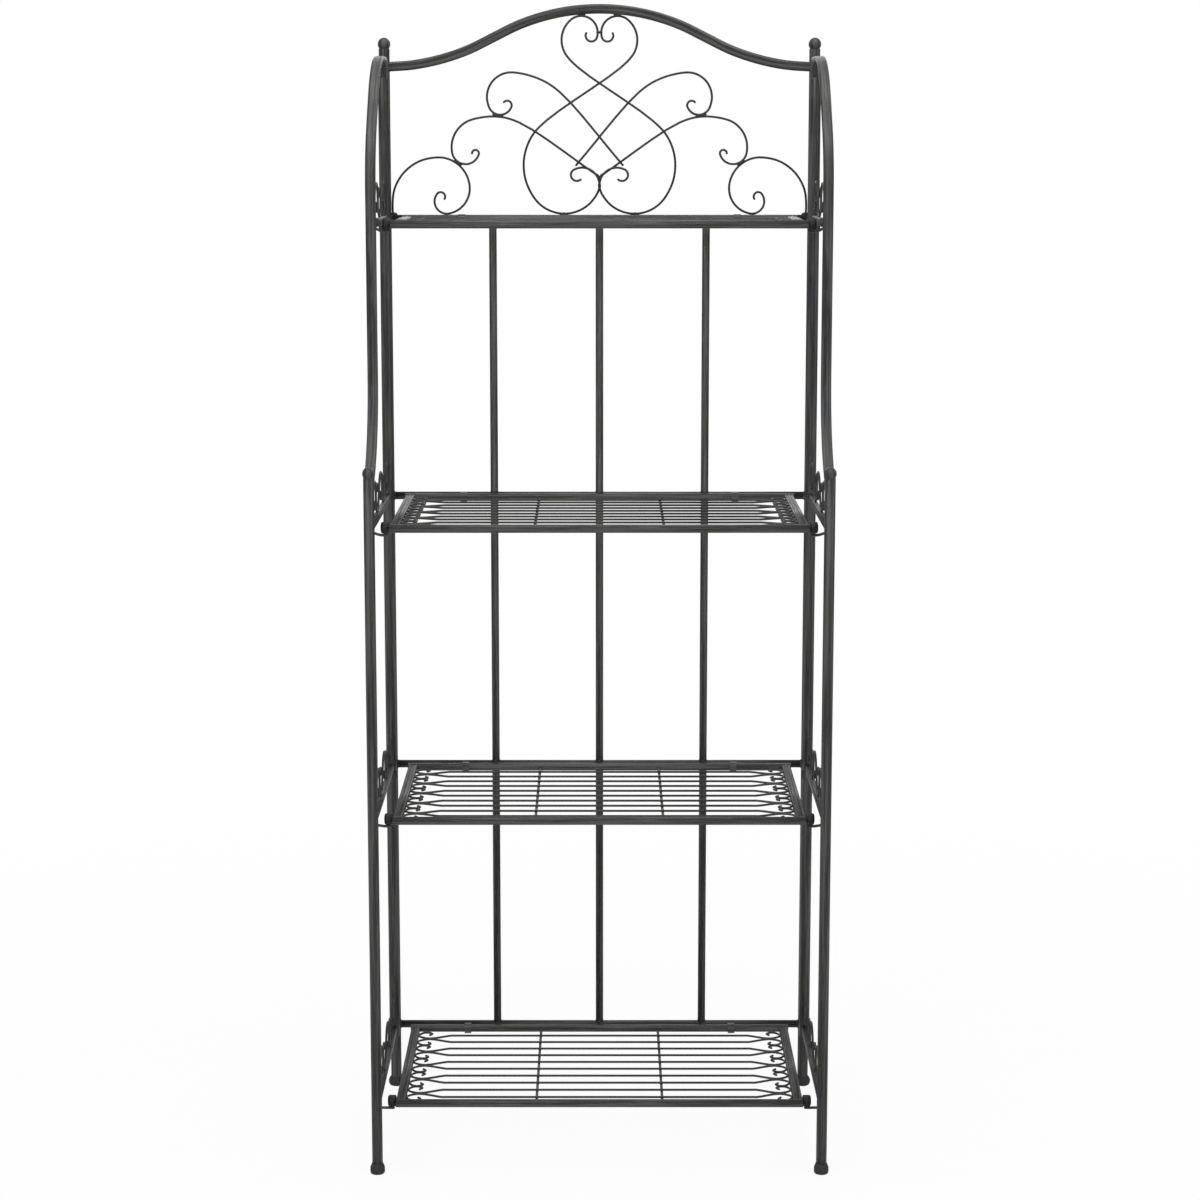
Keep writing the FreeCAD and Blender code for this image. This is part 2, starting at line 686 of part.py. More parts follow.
def wire_end(pitch):
    """A long wire's end: (in from the side rail's face, out from the middle of its pair) of its corners."""
    near = SIZE["shelf_wire"] / 2 + WIRE_GAP
    return (
        (50, pitch / 2), (17.5, near + 0.1), (near + 0.1, pitch * 0.37), (near, pitch * 0.66),
        (8, pitch - near - 0.3), (15.5, pitch - near), (20.5, pitch * 0.76), (16, pitch * 0.53),
    )


def shelf_wire_faces(level):
    """Long wires in pairs that pinch together, flare onto the side rails and curl back."""
    inside = SIZE["shelf_width"] / 2 - SIZE["shelf_side_width"]
    front_face = front_rail_y(level) + SIZE["rail_diameter"] / 2
    depth = hinge_y - front_face
    pairs = round((depth / WIRE_PITCH + 1 - REAR_ROOM) / 2)
    pitch = depth / (2 * pairs - 1 + REAR_ROOM)
    end = [V(inside - inward, outward) for inward, outward in wire_end(pitch)]
    row = [V(-p.x, p.y) for p in end[::-1]] + end
    faces = []
    for pair in range(pairs):
        middle = front_face + pitch * (1 + 2 * pair)
        for hand in SIDES.values():
            faces.append(mitred_wire([V(p.x, middle + p.y * hand) for p in row], SIZE["shelf_wire"]))
    return faces


def rod_faces(level):
    """Two rods under the wires from the front rail to the rear rail."""
    first = front_rail_y(level) + SIZE["rail_diameter"] / 2
    last = hinge_y - SIZE["rail_diameter"] / 2
    rod_x = SIZE["shelf_width"] / 2 * ROD_SHARE
    return [mitred_wire([V(x, first), V(x, last)], SIZE["shelf_rod"]) for x in (-rod_x, rod_x)]


def shelf_side_faces(level):
    """The sections of a shelf's two side rails, standing on its front rail's axis."""
    faces = []
    for hand in SIDES.values():
        face = flat(grooved_section(SIZE["shelf_side_width"], SIZE["shelf_side_height"]))
        middle = V(hand * (SIZE["shelf_width"] - SIZE["shelf_side_width"]) / 2, front_rail_y(level), 0)
        faces.append(placed(face, middle, UPRIGHT_PLANE))
    return faces


for level in LEVELS:
    number, height = level + 1, level_height(level)
    setback = "bow_setback + shelf_setback" if level == top_level else "shelf_setback"
    front_y = f"({setback} - frame_depth / 2)"
    rear = rod_across(f"shelf_rear_rail_{number}", "rail_diameter", "shelf_width + 2", HINGE, height)
    node(rear, f"shelf_rear_rail_{number}")
    front = faceted_rod_across(f"shelf_front_rail_{number}", "rail_diameter", "shelf_width", front_y, height)
    node(front, f"shelf_front_rail_{number}")

    side_length = f"frame_depth - hinge_offset - ({setback})"
    sides = extruded(f"shelf_side_stock_{number}", shelf_side_faces(level), V(0, 1, 0), side_length)
    place(sides, "0", "0", height)
    space = faceted_rod_across(f"rear_rail_space_{number}", "rail_diameter", "shelf_width", HINGE, height)
    rails = joined(f"shelf_rails_{number}", [space, front])
    node(cut(f"shelf_side_rails_{number}", sides, rails), f"shelf_side_rails_{number}")

    wires = extruded(f"shelf_long_wires_{number}", shelf_wire_faces(level), V(0, 0, 1), "shelf_wire")
    place(wires, "0", "0", f"{height} + {WIRE_LIFT}")
    rods = extruded(f"shelf_rods_{number}", rod_faces(level), V(0, 0, 1), "shelf_rod")
    place(rods, "0", "0", f"{height} + {WIRE_LIFT} - shelf_rod")
    node(gathered(f"shelf_wires_{number}", [wires, rods]), f"shelf_wires_{number}")

    plugs = []
    for side, hand in SIDES.items():
        plug = prism(f"plug_{side}_{number}", TUBE_FLATS, "plug_diameter", "plug_length")
        inner = f"{hand} * (shelf_width + plug_length) / 2 - plug_length / 2"
        plugs.append(place(plug, inner, f"{front_y} + plug_setback", height, FLATS_ALONG_X))
    node(gathered(f"shelf_end_plugs_{number}", plugs), f"shelf_end_plugs_{number}")


# ---------------------------------------------------------------- check and export

doc.recompute()
for item in doc.Objects:
    if "Invalid" in item.State or "Error" in item.State:
        raise RuntimeError(f"{item.Label} failed: {item.State}")
os.makedirs("parts", exist_ok=True)
for item in nodes:
    if item.Shape.isNull() or not item.Shape.isValid() or not item.Shape.Solids:
        raise RuntimeError(f"{item.Label} has no valid solid")
    item.Shape.exportStep(f"parts/{item.Label}.step")
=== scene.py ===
"""The looks of the folding bakers rack: round bent wire, turned caps and feet, welds and brushed paint.

All lengths are in metres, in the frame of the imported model: +Z up, the front faces -Y.
"""
import bmesh
import bpy
import json
import math
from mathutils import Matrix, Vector


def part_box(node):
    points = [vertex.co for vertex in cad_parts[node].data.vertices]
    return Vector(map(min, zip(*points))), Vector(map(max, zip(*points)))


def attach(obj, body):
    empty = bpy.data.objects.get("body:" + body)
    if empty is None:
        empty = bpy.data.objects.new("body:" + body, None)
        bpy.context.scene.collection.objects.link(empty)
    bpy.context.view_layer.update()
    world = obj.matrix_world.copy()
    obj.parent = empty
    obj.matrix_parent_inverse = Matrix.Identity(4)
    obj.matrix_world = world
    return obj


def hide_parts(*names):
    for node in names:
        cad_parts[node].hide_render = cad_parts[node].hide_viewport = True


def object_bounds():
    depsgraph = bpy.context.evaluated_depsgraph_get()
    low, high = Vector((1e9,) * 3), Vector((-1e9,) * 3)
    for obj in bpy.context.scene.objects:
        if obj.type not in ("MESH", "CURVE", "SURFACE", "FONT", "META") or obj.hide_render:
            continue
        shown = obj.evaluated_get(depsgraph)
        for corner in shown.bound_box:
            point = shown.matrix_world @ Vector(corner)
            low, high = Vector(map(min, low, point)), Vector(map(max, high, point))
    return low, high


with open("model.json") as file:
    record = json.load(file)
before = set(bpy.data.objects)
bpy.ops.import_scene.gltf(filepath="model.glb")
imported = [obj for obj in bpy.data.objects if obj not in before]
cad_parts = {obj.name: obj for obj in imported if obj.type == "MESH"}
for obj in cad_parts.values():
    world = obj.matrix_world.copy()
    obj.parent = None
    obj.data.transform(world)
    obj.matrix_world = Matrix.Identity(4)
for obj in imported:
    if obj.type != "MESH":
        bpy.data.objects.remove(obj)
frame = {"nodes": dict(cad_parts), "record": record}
CAD_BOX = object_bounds()
NODES = frame["nodes"]
BODIES = frame["record"]["behaviour"]["bodies"]
BODY_OF = {node: body for body, nodes in BODIES.items() for node in nodes}
SIDES = {"left": -1, "right": 1}
SHELVES = (1, 2, 3, 4)
X, Y, Z = Vector((1, 0, 0)), Vector((0, 1, 0)), Vector((0, 0, 1))
MM = 0.001


# ---------------------------------------------------------------- sizes read from the frame

def middle(node):
    low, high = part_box(node)
    return (low + high) / 2


def extent(node):
    low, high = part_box(node)
    return high - low


POST = middle("back_post_right")
POST_RADIUS = extent("back_post_right").x / 2
POST_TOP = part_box("back_post_right")[1].z
UPRIGHT = middle("rear_upright_right")
LEG = middle("front_foot_right")
LEG_RADIUS = POST_RADIUS * 15 / 16
LEG_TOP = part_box("front_leg_right")[1].z - 16.5 * MM  # where the leg's tube ends and its ball cap begins
RAIL_RADIUS = extent("cross_rail_1").z / 2
SHELF_SIDE_WIDTH = RAIL_RADIUS * 2 * 13.5 / 11.5
BAR_RADIUS = extent("back_bar_middle").x / 2
PLUG_RADIUS = extent("shelf_end_plugs_1").z / 2
LEVELS = [middle(f"cross_rail_{n}").z for n in SHELVES]
SET_BACK = middle("shelf_front_rail_4").y - middle("shelf_front_rail_1").y  # of the top shelf
WIRE = extent("heart_scroll_left").y


# ---------------------------------------------------------------- sizes of the scene's own detail

# Flattened tubes. How deep a groove is counts as a share of the tube's half height, and where it runs as a
# share of its half width.
SIDE_RAIL = (8 * MM, 12 * MM)  # width, height
ARCH_HEIGHT, ARCH_GROOVE = 14 * MM, 0.05
BOW_THICKNESS, BOW_GROOVE = 9 * MM, 0.16
SHELF_GROOVE, SHELF_GROOVE_PLACES = 0.26, (-0.38, 0.38)

# Fillets of weld round a tube: (beyond its radius, along it), in mm.
RAIL_FILLET = ((1.3, -1.2), (0.9, 0.4), (0, 2))
BAR_FILLET = ((0.9, 0), (0, 1.8))

RAIL_END = 0.8           # how far from a post's axis a cross rail ends, as a share of the post's radius
RAIL_LIP = 0.6 * MM      # the rounding at a front rail's open ends
BAR_SINK = 0.6 * MM      # how deep the fillets of the back bars start inside the rails
UPRIGHT_LIP = 0.5 * MM   # the same at a rear upright's foot
UPRIGHT_TIP = ((0, 4), (1, 1), (3.5, 0))  # a rear upright's crimped top: (inwards, down), in mm
HOOP_RADIUS = 24 * MM    # the bend that turns a bow down into its rear upright
HOOP_STEPS = 8
HOOP_TAIL = 8 * MM       # how far the bow goes down inside the upright
BOW_ROOT = 3 * MM        # how far the bow goes into its front leg
BOW_PROUD = 0.6 * MM     # how much wider the bow is than its bar in the frame
ARCH_ROOT = 4 * MM       # how far the arch goes into each post
HOOK_WIRE = 4 * MM
HOOK_REACH = 20.5 * MM   # from a plug's middle forward to the hook's root in the side rail
HOOK_DIP = 8 * MM        # how far a hook's bearing is under its root
HOOK_BEND = 5 * MM       # how far before a hook's corner its bend starts
HOOK_GAP = 0.3 * MM      # between a hook and the plug above it

# Balls pressed on tube ends.
BALL_SWELL = 1.15        # the ball's radius over the tube's
BALL_NECK = 0.6 * MM     # the height of the neck under it
BALL_FIRST, BALL_LAST, BALL_STEPS = math.radians(-40), math.radians(88), 14
FINIAL_NECK, CAP_NECK = 0.9 * MM, 0.2 * MM  # how much narrower than the tube the neck is

# Feet, from the tube down: (radius, height), in mm.
FRONT_FOOT = (
    (7.6, 15), (8.3, 14.5), (8.6, 13.2), (9.2, 11.5), (10.2, 9.5),
    (10.4, 7), (10.4, 3), (10, 1), (9, 0.1), (4, 0),
)
REAR_FOOT = (
    (8.1, 15), (9.2, 14.1), (10.9, 11.5), (11.8, 8.5), (11.9, 6.5),
    (11.4, 3.5), (9.8, 1.2), (7.5, 0.1), (3, 0),
)

# End plugs, from the rail outwards: shares of their (radius, length).
PLUG_PROFILE = (
    (0.82, 0), (0.92, 0.04), (1, 0.1), (1, 0.72), (0.95, 0.86), (0.8, 0.95), (0.5, 0.99), (0.15, 1),
)
PLUG_SIDES, PLUG_RIBS, PLUG_RIB_DEPTH = 96, 20, 0.09

# Radii of the round wires, as shares of the thickness of their square wires in the frame.
SCROLL_SHARE, SHELF_WIRE_SHARE, SHELF_ROD_SHARE = 0.55, 0.59, 0.5


# ---------------------------------------------------------------- meshes with a grain

class Part:
    """A mesh in the making.  Every corner also stores its place along and across the metal's grain."""

    def __init__(self, name, *nodes, material=None, body=None):
        self.name, self.nodes = name, nodes
        self.body = body or BODY_OF[nodes[0]]
        self.material = material or PAINT["own"]
        self.points, self.faces, self.grain = [], [], []

    def ring(self, places, along, across):
        """Add a closed ring of points and return its first index."""
        first = len(self.points)
        self.points += places
        self.grain += [Vector((along, *offset)) for offset in across]
        return first

    def skin(self, rings):
        """Close a tube over rings of (places, along, across)."""
        firsts = [self.ring(*ring) for ring in rings]
        count = len(rings[0][0])
        for first, second in zip(firsts, firsts[1:]):
            for i in range(count):
                j = (i + 1) % count
                self.faces.append((first + i, first + j, second + j, second + i))
        self.faces.append(tuple(range(firsts[0], firsts[0] + count))[::-1])
        self.faces.append(tuple(range(firsts[-1], firsts[-1] + count)))

    def sweep(self, path, section, up, scales=None):
        """Carry a section of (left, up) offsets along a path."""
        rings, along = [], 0.0
        for i, place in enumerate(path):
            before, after = path[max(i - 1, 0)], path[min(i + 1, len(path) - 1)]
            tangent = (after - before).normalized()
            up = (up - tangent * up.dot(tangent)).normalized()
            left = up.cross(tangent)
            along += (place - before).length
            scale = scales[i] if scales else 1.0
            outline = [(a * scale, b * scale) for a, b in section]
            rings.append(([place + left * a + up * b for a, b in outline], along, outline))
        self.skin(rings)

    def wire(self, path, radius, up, sides=12):
        """A round wire whose two ends are rounded off."""
        turns = [math.radians(a) for a in (15, 40, 65, 90)]
        tips = [(radius * (1 - math.cos(turn)), math.sin(turn)) for turn in turns]
        first = [(path[0] + (path[1] - path[0]).normalized() * d, scale) for d, scale in tips]
        last = [(path[-1] + (path[-2] - path[-1]).normalized() * d, scale) for d, scale in tips]
        clear = radius * 1.2
        inner = [(p, 1.0) for p in path if min((p - path[0]).length, (p - path[-1]).length) > clear]
        rows = first + inner + last[::-1]
        self.sweep([p for p, scale in rows], circle(radius, sides), up, [scale for p, scale in rows])

    def turn(self, profile, base, axis, sides=40, flutes=0, depth=0.0):
        """Turn a profile of (radius, height) about an axis from a base point, fluted if asked."""
        across = axis.orthogonal().normalized()
        up = axis.cross(across)
        angles = [math.tau * i / sides for i in range(sides)]
        rings = []
        for radius, height in profile:
            offsets = []
            for angle in angles:
                reach = radius * (1 - depth * (0.5 + 0.5 * math.cos(flutes * angle)) if flutes else 1)
                offsets.append((reach * math.cos(angle), reach * math.sin(angle)))
            places = [base + axis * height + across * a + up * b for a, b in offsets]
            rings.append((places, height, offsets))
        self.skin(rings)

    def bead(self, place, along, length, radius):
        """A weld bead: a long drop of metal run along a direction."""
        angles = [math.radians(a) for a in (8, 30, 55, 90, 125, 150, 172)]
        profile = [(radius * math.sin(a), -length / 2 * math.cos(a)) for a in angles]
        self.turn(profile, place, along.normalized(), sides=10)

    def finish(self):
        """Make the object, hang it on its body's empty and hide the nodes that it stands for."""
        mesh = bpy.data.meshes.new(self.name)
        mesh.from_pydata(self.points, [], self.faces)
        mesh.validate()
        for polygon in mesh.polygons:
            polygon.use_smooth = len(polygon.vertices) == 4
        grain = mesh.attributes.new("grain", "FLOAT_VECTOR", "POINT")
        grain.data.foreach_set("vector", [value for place in self.grain for value in place])
        mesh.materials.append(self.material)
        item = bpy.data.objects.new(self.name, mesh)
        bpy.context.scene.collection.objects.link(item)
        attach(item, self.body)
        if self.nodes:
            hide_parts(*self.nodes)


def circle(radius, sides=28):
    angles = [math.tau * i / sides for i in range(sides)]
    return [(radius * math.cos(angle), radius * math.sin(angle)) for angle in angles]


def flattened(width, height, depth=0.0, grooves=(0,), power=3.0, steps=14):
    """A flattened tube's section, grooved along its two broad faces at shares of its half width."""
    sharpness = (1 + len(grooves)) / 0.6
    upper = []
    for k in range(steps, -steps, -1):
        a = math.sin(math.pi / 2 * k / steps)
        b = (1 - abs(a) ** power) ** (1 / power)
        b *= 1 - depth * sum(math.exp(-(((a - groove) * sharpness) ** 2)) for groove in grooves)
        upper.append((a * width / 2, b * height / 2))
    return upper + [(-a, -b) for a, b in upper]


def fillet(radius, rows):
    """A turned profile from rows of (beyond the radius, along the axis) in mm."""
    return [(radius + beyond * MM, along * MM) for beyond, along in rows]


# ---------------------------------------------------------------- centre lines of wires and tubes

def loose_solids(mesh):
    """The separate solids of a mesh, as lists of bmesh faces."""
    seen, solids = set(), []
    for face in mesh.faces:
        if face in seen:
            continue
        seen.add(face)
        solid, queue = [], [face]
        while queue:
            here = queue.pop()
            solid.append(here)
            for edge in here.edges:
                for other in edge.link_faces:
                    if other not in seen:
                        seen.add(other)
                        queue.append(other)
        solids.append(solid)
    return solids


def outline_loop(solid, flat):
    """The corner places of a solid's upper flat face, in order."""
    upper = [face for face in solid if face.normal[flat] > 0.99]
    inside = set(upper)
    after = {}
    for face in upper:
        for loop in face.loops:
            if loop.link_loop_radial_next.face not in inside:
                after[loop.vert] = loop.link_loop_next.vert
    vert = next(iter(after))
    loop = []
    for _ in after:
        loop.append(vert.co.copy())
        vert = after[vert]
    return loop


def centre_line(loop, flat, width):
    """The middle points between the two long sides of a flat wire's outline."""
    count = len(loop)
    half = count // 2

    def misfit(i):
        ends = [(loop[(i + k + 1) % count] - loop[(i + k) % count]).length for k in (0, half)]
        return sum(abs(end - width) for end in ends)

    start = min(range(half), key=misfit)
    line = [(loop[(start - k) % count] + loop[(start + 1 + k) % count]) / 2 for k in range(half)]
    for point in line:
        point[flat] -= width / 2
    return line


def wire_lines(node):
    """(centre line, wire thickness, flat direction) of every flat bent wire in a node."""
    mesh = bmesh.new()
    mesh.from_mesh(NODES[node].data)
    bmesh.ops.remove_doubles(mesh, verts=mesh.verts, dist=1e-6)
    lines = []
    for solid in loose_solids(mesh):
        places = [vert.co for face in solid for vert in face.verts]
        spans = [max(p[i] for p in places) - min(p[i] for p in places) for i in range(3)]
        flat = spans.index(min(spans))
        line = centre_line(outline_loop(solid, flat), flat, spans[flat])
        lines.append((line, spans[flat], (X, Y, Z)[flat]))
    mesh.free()
    return lines


def bow_line(node):
    """A bow's centre line: the middles between its corners on its plane of symmetry, from the front."""
    centre = middle(node).x
    places = {tuple(round(v, 6) for v in vert.co) for vert in NODES[node].data.vertices}
    places = [Vector(p) for p in places if abs(p[0] - centre) < 0.01 * MM]
    line = []
    for place in places:
        partner = min((p for p in places if p is not place), key=lambda p: (p - place).length)
        line.append((place + partner) / 2)
    line.sort(key=lambda p: p.y + p.z)
    return [p for i, p in enumerate(line) if i == 0 or (p - line[i - 1]).length > 2 * MM]


def smooth_through(points, steps):
    """A centripetal curve through the points."""
    padded = [2 * points[0] - points[1], *points, 2 * points[-1] - points[-2]]
    path = []
    for p0, p1, p2, p3 in zip(padded, padded[1:], padded[2:], padded[3:]):
        t1 = (p1 - p0).length ** 0.5
        t2 = t1 + (p2 - p1).length ** 0.5
        t3 = t2 + (p3 - p2).length ** 0.5
        for step in range(steps):
            t = t1 + (t2 - t1) * step / steps
            a1 = p0 * (t1 - t) / t1 + p1 * t / t1
            a2 = p1 * (t2 - t) / (t2 - t1) + p2 * (t - t1) / (t2 - t1)
            a3 = p2 * (t3 - t) / (t3 - t2) + p3 * (t - t2) / (t3 - t2)
            b1 = a1 * (t2 - t) / t2 + a2 * t / t2
            b2 = a2 * (t3 - t) / (t3 - t1) + a3 * (t - t1) / (t3 - t1)
            path.append(b1 * (t2 - t) / (t2 - t1) + b2 * (t - t1) / (t2 - t1))
    return path + [points[-1]]


def held_straight(points, shortest=60 * MM, insets=(6 * MM, 25 * MM)):
    """The points with more of them near the ends of every long run, which keep a curve to the run."""
    line = [points[0]]
    for a, b in zip(points, points[1:]):
        run = b - a
        if run.length > shortest:
            step = run.normalized()
            line += [a + step * inset for inset in insets] + [b - step * inset for inset in insets[::-1]]
        line.append(b)
    return line


def rounded_corners(points, reach, steps=6):
    """The path along straight runs, with every corner cut by a curve that starts a reach before it."""
    path = [points[0]]
    for before, corner, after in zip(points, points[1:], points[2:]):
        back, on = before - corner, after - corner
        first = corner + back.normalized() * min(reach, 0.45 * back.length)
        last = corner + on.normalized() * min(reach, 0.45 * on.length)
        for step in range(steps + 1):
            t = step / steps
            path.append(first * (1 - t) ** 2 + corner * 2 * t * (1 - t) + last * t**2)
    return path + [points[-1]]


def meetings(first, second, reach):
    """(place, direction) of every spot where two paths come nearest within a reach."""
    spots = []
    near = [min(((p - q).length, j) for j, q in enumerate(second)) for p in first]
    for i, (gap, j) in enumerate(near):
        before = near[i - 1][0] if i else math.inf
        after = near[i + 1][0] if i + 1 < len(near) else math.inf
        if gap < reach and gap <= before and gap < after:
            along = first[min(i + 1, len(first) - 1)] - first[max(i - 1, 0)]
            spots.append(((first[i] + second[j]) / 2, along))
    return spots


# ---------------------------------------------------------------- materials

def shader(name):
    material = bpy.data.materials.new(name)
    material.use_nodes = True
    tree = material.node_tree
    tree.nodes.clear()
    surface = tree.nodes.new("ShaderNodeBsdfPrincipled")
    output = tree.nodes.new("ShaderNodeOutputMaterial")
    tree.links.new(surface.outputs[0], output.inputs[0])
    return material, tree, surface


def feed(tree, socket, value):
    """Set a socket to a number or colour, or link it to the socket that feeds it."""
    if isinstance(value, bpy.types.NodeSocket):
        tree.links.new(value, socket)
    else:
        socket.default_value = value


def put(tree, kind, **inputs):
    """Add a node and feed its inputs."""
    item = tree.nodes.new(kind)
    for name, value in inputs.items():
        feed(tree, item.inputs[name.replace("_", " ")], value)
    return item


def grain_coordinates(tree, grain):
    """A place in metres whose X runs along the metal: an axis of the frame, or the mesh's own grain."""
    if grain == "own":
        own = tree.nodes.new("ShaderNodeAttribute")
        own.attribute_name = "grain"
        return own.outputs["Vector"]
    place = tree.nodes.new("ShaderNodeTexCoord").outputs["Object"]
    turn = {"X": (0, 0, 0), "Z": (0, math.pi / 2, 0)}[grain]
    return put(tree, "ShaderNodeMapping", Vector=place, Rotation=turn).outputs[0]


def noise(tree, place, stretch, detail=2.0, roughness=0.5):
    """Noise of a size given as waves per metre along each axis."""
    scaled = put(tree, "ShaderNodeMapping", Vector=place, Scale=stretch).outputs[0]
    inputs = {"Vector": scaled, "Scale": 1.0, "Detail": detail, "Roughness": roughness}
    return put(tree, "ShaderNodeTexNoise", **inputs).outputs[0]


def limits(tree, value, low, high, to_low=0.0, to_high=1.0):
    """The value carried from one range to another."""
    inputs = {"Value": value, "From_Min": low, "From_Max": high, "To_Min": to_low, "To_Max": to_high}
    return put(tree, "ShaderNodeMapRange", **inputs).outputs[0]


def mixed(tree, share, first, second):
    """The first colour, with a share of the second."""
    item = tree.nodes.new("ShaderNodeMix")
    item.data_type = "RGBA"
    for name, value in (("Factor_Float", share), ("A_Color", first), ("B_Color", second)):
        feed(tree, next(s for s in item.inputs if s.identifier == name), value)
    return next(s for s in item.outputs if s.identifier == "Result_Color")


def bump(tree, height, strength, distance, **inputs):
    node = put(tree, "ShaderNodeBump", Height=height, Strength=strength, Distance=distance, **inputs)
    return node.outputs[0]


def colour(red, green, blue):
    """A colour written as its red, green and blue out of 255."""
    return tuple((part / 255) ** 2.2 for part in (red, green, blue)) + (1.0,)


def shifted(shade, red, green, blue):
    """The colour of a shade after so many steps out of 255 in each channel."""
    return colour(shade[0] + red, shade[1] + green, shade[2] + blue)


def brushed_paint(name, grain, dark, light):
    """Gunmetal paint, wiped by brush: fine marks along the metal, broader bands and faint tints."""
    material, tree, surface = shader(name)
    place = grain_coordinates(tree, grain)
    hairs = noise(tree, place, (24, 900, 900), 3.0, 0.6)
    bands = noise(tree, place, (5, 230, 230), 2.0, 0.5)
    blotch = noise(tree, place, (20, 45, 45), 2.0)
    grit = noise(tree, place, (2600, 2600, 2600), 1.0)
    warm = limits(tree, blotch, 0.48, 0.62)
    tint = mixed(tree, warm, colour(*dark), shifted(dark, 3, 2, -6))
    cool = limits(tree, noise(tree, place, (13, 30, 30), 1.0), 0.54, 0.68)
    tint = mixed(tree, cool, tint, shifted(dark, -2, 0, 7))
    wiped = mixed(tree, limits(tree, bands, 0.46, 0.6, 0.0, 0.85), tint, colour(*light))
    marked = mixed(tree, limits(tree, hairs, 0.52, 0.72, 0.0, 0.6), wiped, shifted(light, 16, 16, 16))
    tree.links.new(marked, surface.inputs["Base Color"])
    tree.links.new(limits(tree, hairs, 0.3, 0.75, 0.56, 0.42), surface.inputs["Roughness"])
    rough = bump(tree, grit, 0.25, 0.2 * MM)
    tree.links.new(bump(tree, hairs, 0.4, 0.3 * MM, Normal=rough), surface.inputs["Normal"])
    surface.inputs["Specular IOR Level"].default_value = 0.35
    return material


def moulded(name, shade, roughness):
    """Black plastic or rubber with a fine moulded grain and a little dust."""
    material, tree, surface = shader(name)
    place = tree.nodes.new("ShaderNodeTexCoord").outputs["Object"]
    cells = noise(tree, place, (1400, 1400, 1400), 2.0)
    dust = noise(tree, place, (70, 70, 70), 4.0, 0.65)
    dusty = limits(tree, dust, 0.5, 0.8, 0.0, 0.6)
    pale = shifted(shade, 22, 22, 22)
    tree.links.new(mixed(tree, dusty, colour(*shade), pale), surface.inputs["Base Color"])
    worn = limits(tree, dust, 0.4, 0.7, roughness, roughness + 0.2)
    tree.links.new(worn, surface.inputs["Roughness"])
    tree.links.new(bump(tree, cells, 0.4, 0.2 * MM), surface.inputs["Normal"])
    surface.inputs["Specular IOR Level"].default_value = 0.4
    return material


TUBE_DARK, TUBE_LIGHT = (45, 45, 46), (84, 84, 83)
WIRE_DARK, WIRE_LIGHT = (36, 36, 37), (60, 60, 59)
PAINT = {
    grain: brushed_paint(f"brushed_paint_{grain.lower()}", grain, TUBE_DARK, TUBE_LIGHT)
    for grain in ("X", "Z", "own")
}
PLASTIC = moulded("plug_plastic", (20, 20, 21), 0.38)
WIRE_PAINT = brushed_paint("brushed_paint_wire", "own", WIRE_DARK, WIRE_LIGHT)
RUBBER = moulded("foot_rubber", (50, 50, 50), 0.6)


def dress_frame():
    """Paint the nodes that stay, along the axis on which their metal runs."""
    for name, item in NODES.items():
        grain = "Z" if name.startswith(("back_post", "side_hinge")) else "X"
        item.data.materials.clear()
        item.data.materials.append(PAINT[grain])


# ---------------------------------------------------------------- straight and bent tubes

def make_rails():
    """Cross rails, back bars, shelf rails and side rails, with a fillet of weld where they meet."""
    for n, level in zip(SHELVES, LEVELS):
        part = Part(f"cross_rail_round_{n}", f"cross_rail_{n}")
        end = POST.x - POST_RADIUS * RAIL_END
        part.sweep([Vector((-end, POST.y, level)), Vector((end, POST.y, level))], circle(RAIL_RADIUS), Y)
        for hand in SIDES.values():
            seat = Vector((hand * (POST.x - POST_RADIUS), POST.y, level))
            part.turn(fillet(RAIL_RADIUS, RAIL_FILLET), seat, -hand * X)
        part.finish()

        node = f"shelf_front_rail_{n}"
        low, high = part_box(node)
        front, length = middle(node), high.x - low.x
        part = Part(f"front_rail_round_{n}", node)
        rows = [(RAIL_RADIUS - RAIL_LIP, 0), (RAIL_RADIUS, RAIL_LIP)]
        rows += [(RAIL_RADIUS, length - RAIL_LIP), (RAIL_RADIUS - RAIL_LIP, length)]
        part.turn(rows, Vector((low.x, front.y, front.z)), X)
        part.finish()

        node = f"shelf_side_rails_{n}"
        low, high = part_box(node)
        section = flattened(
            SHELF_SIDE_WIDTH, high.z - low.z, SHELF_GROOVE, SHELF_GROOVE_PLACES, power=4.0, steps=24
        )
        part = Part(f"shelf_sides_round_{n}", node)
        for hand in SIDES.values():
            x = hand * (high.x - SHELF_SIDE_WIDTH / 2)
            part.sweep([Vector((x, front.y, level)), Vector((x, UPRIGHT.y, level))], section, Z)
        part.finish()

    for name in ("left", "middle", "right"):
        x = middle(f"back_bar_{name}").x
        part = Part(f"bar_round_{name}", f"back_bar_{name}")
        ends = [Vector((x, POST.y, LEVELS[0])), Vector((x, POST.y, LEVELS[-1]))]
        part.sweep(ends, flattened(2 * BAR_RADIUS, 2 * BAR_RADIUS, power=2.8), Y)
        for level in LEVELS:
            for side in (1, -1):
                if LEVELS[0] < level + side * MM < LEVELS[-1]:
                    seat = Vector((x, POST.y, level + side * (RAIL_RADIUS - BAR_SINK)))
                    part.turn(fillet(BAR_RADIUS, BAR_FILLET), seat, side * Z)
        part.finish()

    for side, hand in SIDES.items():
        part = Part(f"side_rails_round_{side}", f"side_rails_{side}")
        x = hand * POST.x
        for n, level in zip(SHELVES, LEVELS):
            front = LEG.y if n < SHELVES[-1] else SET_BACK + LEG.y
            ends = [Vector((x, front, level)), Vector((x, UPRIGHT.y, level))]
            part.sweep(ends, flattened(*SIDE_RAIL, power=4.0), Z)
        part.finish()


